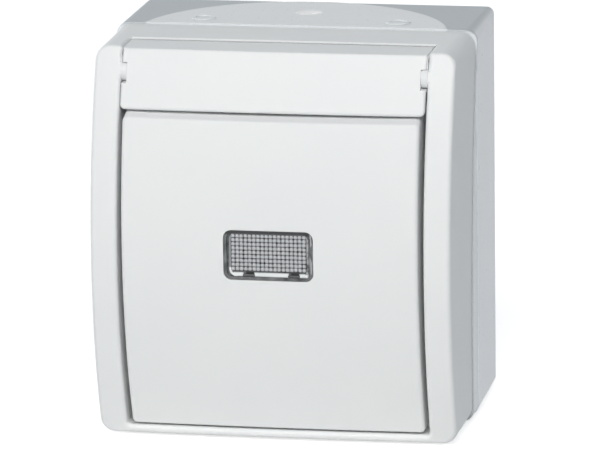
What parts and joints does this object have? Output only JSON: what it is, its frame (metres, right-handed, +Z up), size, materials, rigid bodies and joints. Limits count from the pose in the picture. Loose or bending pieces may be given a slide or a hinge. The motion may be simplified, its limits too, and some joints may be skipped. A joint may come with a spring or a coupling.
{
  "type": "surface mounted weatherproof rocker switch",
  "caption": "Surface mounted weatherproof rocker light switch in white plastic with a clear pilot window, a hinged strip above the rocker and a back box.",
  "frame": {"origin": "centre of the wall face of the base", "axes": "+Y into the wall, +X to the right seen from the front, +Z up"},
  "size_m": [0.075, 0.0593, 0.0814],
  "materials": {
    "cover_white": "satin moulded thermoplastic",
    "base_white": "fine sparked thermoplastic",
    "grey_rubber": "soft moulded rubber",
    "insert_grey": "moulded thermoset",
    "insert_white": "moulded thermoplastic",
    "clear_lens": "clear polycarbonate with a prismatic back",
    "dark_grey": "dark moulded plastic",
    "lamp_glass": "clear glass bulb",
    "plated_steel": "bright zinc plate",
    "spring_steel": "drawn spring wire",
    "brass": "stamped brass",
    "bronze": "rolled spring bronze",
    "silver": "silver contact rivets"
  },
  "bodies": {
    "housing": {"base_box": "base_white", "cable_grommet": "grey_rubber", "cover_gasket": "grey_rubber", "cover": "cover_white", "cover_screws": "plated_steel", "rocker_seal": "grey_rubber", "insert_housing": "insert_grey", "insert_frame": "insert_white", "lamp_holder": "insert_white", "indicator_lamp": "lamp_glass", "mounting_plate": "plated_steel", "insert_screws": "plated_steel", "upper_contact": "brass", "lower_contact": "brass", "common_bracket": "brass", "terminal_clamps": "brass", "terminal_screws": "plated_steel", "earth_terminal": "brass", "earth_screw": "plated_steel"},
    "rocker": {"rocker_plate": "cover_white", "window_lens": "clear_lens", "light_box": "dark_grey", "rocker_carrier": "insert_grey", "toggle_plunger": "insert_white", "toggle_spring": "spring_steel"},
    "contacts": {"contact_bridge": "bronze", "moving_contacts": "silver"},
    "flap": {"label_flap": "cover_white"}
  },
  "joints": [
    {"name": "rocker_tilt", "type": "hinge", "parent": "housing", "child": "rocker", "pos_m": [0, -0.044, 0], "axis": [-1, 0, 0], "range_deg": [0, 4.2]},
    {"name": "contact_tilt", "type": "hinge", "parent": "housing", "child": "contacts", "pos_m": [0, -0.028, 0], "axis": [1, 0, 0], "range_deg": [0, 8]},
    {"name": "flap_hinge", "type": "hinge", "parent": "housing", "child": "flap", "pos_m": [0, -0.04958, 0.0351], "axis": [-1, 0, 0], "range_deg": [0, 75]}
  ],
  "couplings": [
    {"joint": "contact_tilt", "follows": "rocker_tilt", "ratio": 1.9047}
  ]
}
